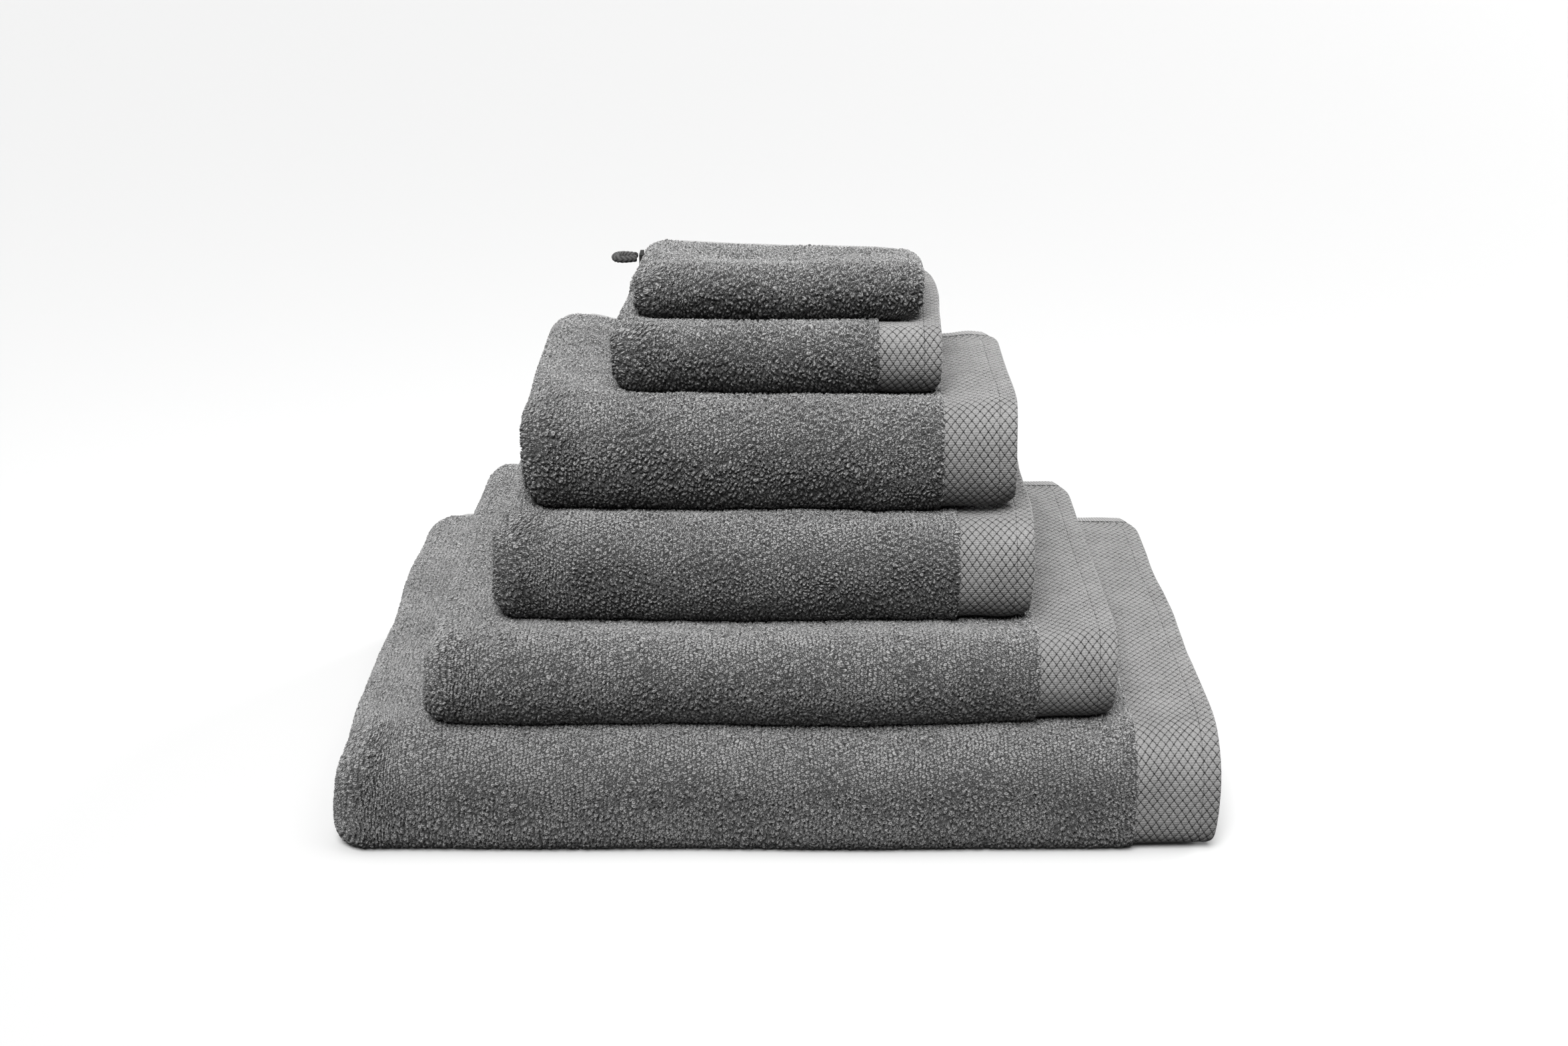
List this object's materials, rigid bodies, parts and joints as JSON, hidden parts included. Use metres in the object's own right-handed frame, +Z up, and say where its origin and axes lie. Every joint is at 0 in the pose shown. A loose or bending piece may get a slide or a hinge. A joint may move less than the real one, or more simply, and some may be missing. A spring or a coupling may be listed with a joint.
{
  "type": "bath towel set",
  "caption": "Stack of folded terry towels with flat-woven borders, from bath sheet to guest towel, with a folded wash mitt and its cord hanging loop on top.",
  "frame": {"origin": "under the middle of the bath sheet, on the surface that the stack stands on", "axes": "+X along the folded length towards the woven borders, +Y from the front folds to the back, +Z up"},
  "size_m": [0.45, 0.333, 0.2855],
  "materials": {
    "terry_loops": "matte",
    "flat_weave": "matte",
    "stitched_hem": "matte",
    "loop_cord": "matte"
  },
  "bodies": {
    "bath_sheet": {"bath_sheet_terry": "terry_loops", "bath_sheet_border": "flat_weave", "bath_sheet_end_hem": "stitched_hem", "bath_sheet_side_hem": "stitched_hem", "bath_sheet_inner_border": "flat_weave", "bath_sheet_inner_end_hem": "stitched_hem"},
    "bath_towel": {"bath_towel_terry": "terry_loops", "bath_towel_border": "flat_weave", "bath_towel_end_hem": "stitched_hem", "bath_towel_side_hem": "stitched_hem", "bath_towel_inner_border": "flat_weave", "bath_towel_inner_end_hem": "stitched_hem"},
    "large_hand_towel": {"large_hand_towel_terry": "terry_loops", "large_hand_towel_border": "flat_weave", "large_hand_towel_end_hem": "stitched_hem", "large_hand_towel_side_hem": "stitched_hem", "large_hand_towel_inner_border": "flat_weave", "large_hand_towel_inner_end_hem": "stitched_hem"},
    "small_hand_towel": {"small_hand_towel_terry": "terry_loops", "small_hand_towel_border": "flat_weave", "small_hand_towel_end_hem": "stitched_hem", "small_hand_towel_side_hem": "stitched_hem", "small_hand_towel_inner_border": "flat_weave", "small_hand_towel_inner_end_hem": "stitched_hem"},
    "guest_towel": {"guest_towel_terry": "terry_loops", "guest_towel_border": "flat_weave", "guest_towel_end_hem": "stitched_hem", "guest_towel_side_hem": "stitched_hem"},
    "wash_mitt": {"wash_mitt_outer_panel": "terry_loops", "wash_mitt_inner_panel": "terry_loops", "wash_mitt_left_seam": "terry_loops", "wash_mitt_right_seam": "terry_loops", "wash_mitt_cuff_hem_outer": "stitched_hem", "wash_mitt_cuff_hem_inner": "stitched_hem", "loop_bar_tack": "loop_cord"},
    "hanging_loop": {"hanging_loop": "loop_cord"}
  },
  "joints": [
    {"name": "bath_towel_lift", "type": "slide", "parent": "bath_sheet", "child": "bath_towel", "axis": [0, 0, 1], "range_m": [0, 0.024]},
    {"name": "large_hand_towel_lift", "type": "slide", "parent": "bath_towel", "child": "large_hand_towel", "axis": [0, 0, 1], "range_m": [0, 0.024]},
    {"name": "small_hand_towel_lift", "type": "slide", "parent": "large_hand_towel", "child": "small_hand_towel", "axis": [0, 0, 1], "range_m": [0, 0.024]},
    {"name": "guest_towel_lift", "type": "slide", "parent": "small_hand_towel", "child": "guest_towel", "axis": [0, 0, 1], "range_m": [0, 0.024]},
    {"name": "wash_mitt_lift", "type": "slide", "parent": "guest_towel", "child": "wash_mitt", "axis": [0, 0, 1], "range_m": [0, 0.024]},
    {"name": "hanging_loop_swing", "type": "hinge", "parent": "wash_mitt", "child": "hanging_loop", "pos_m": [-0.0762, -0.0055, 0.2755], "axis": [0, 1, 0], "range_deg": [-45, 80], "stiffness_Nm_per_rad": 0.0005}
  ]
}
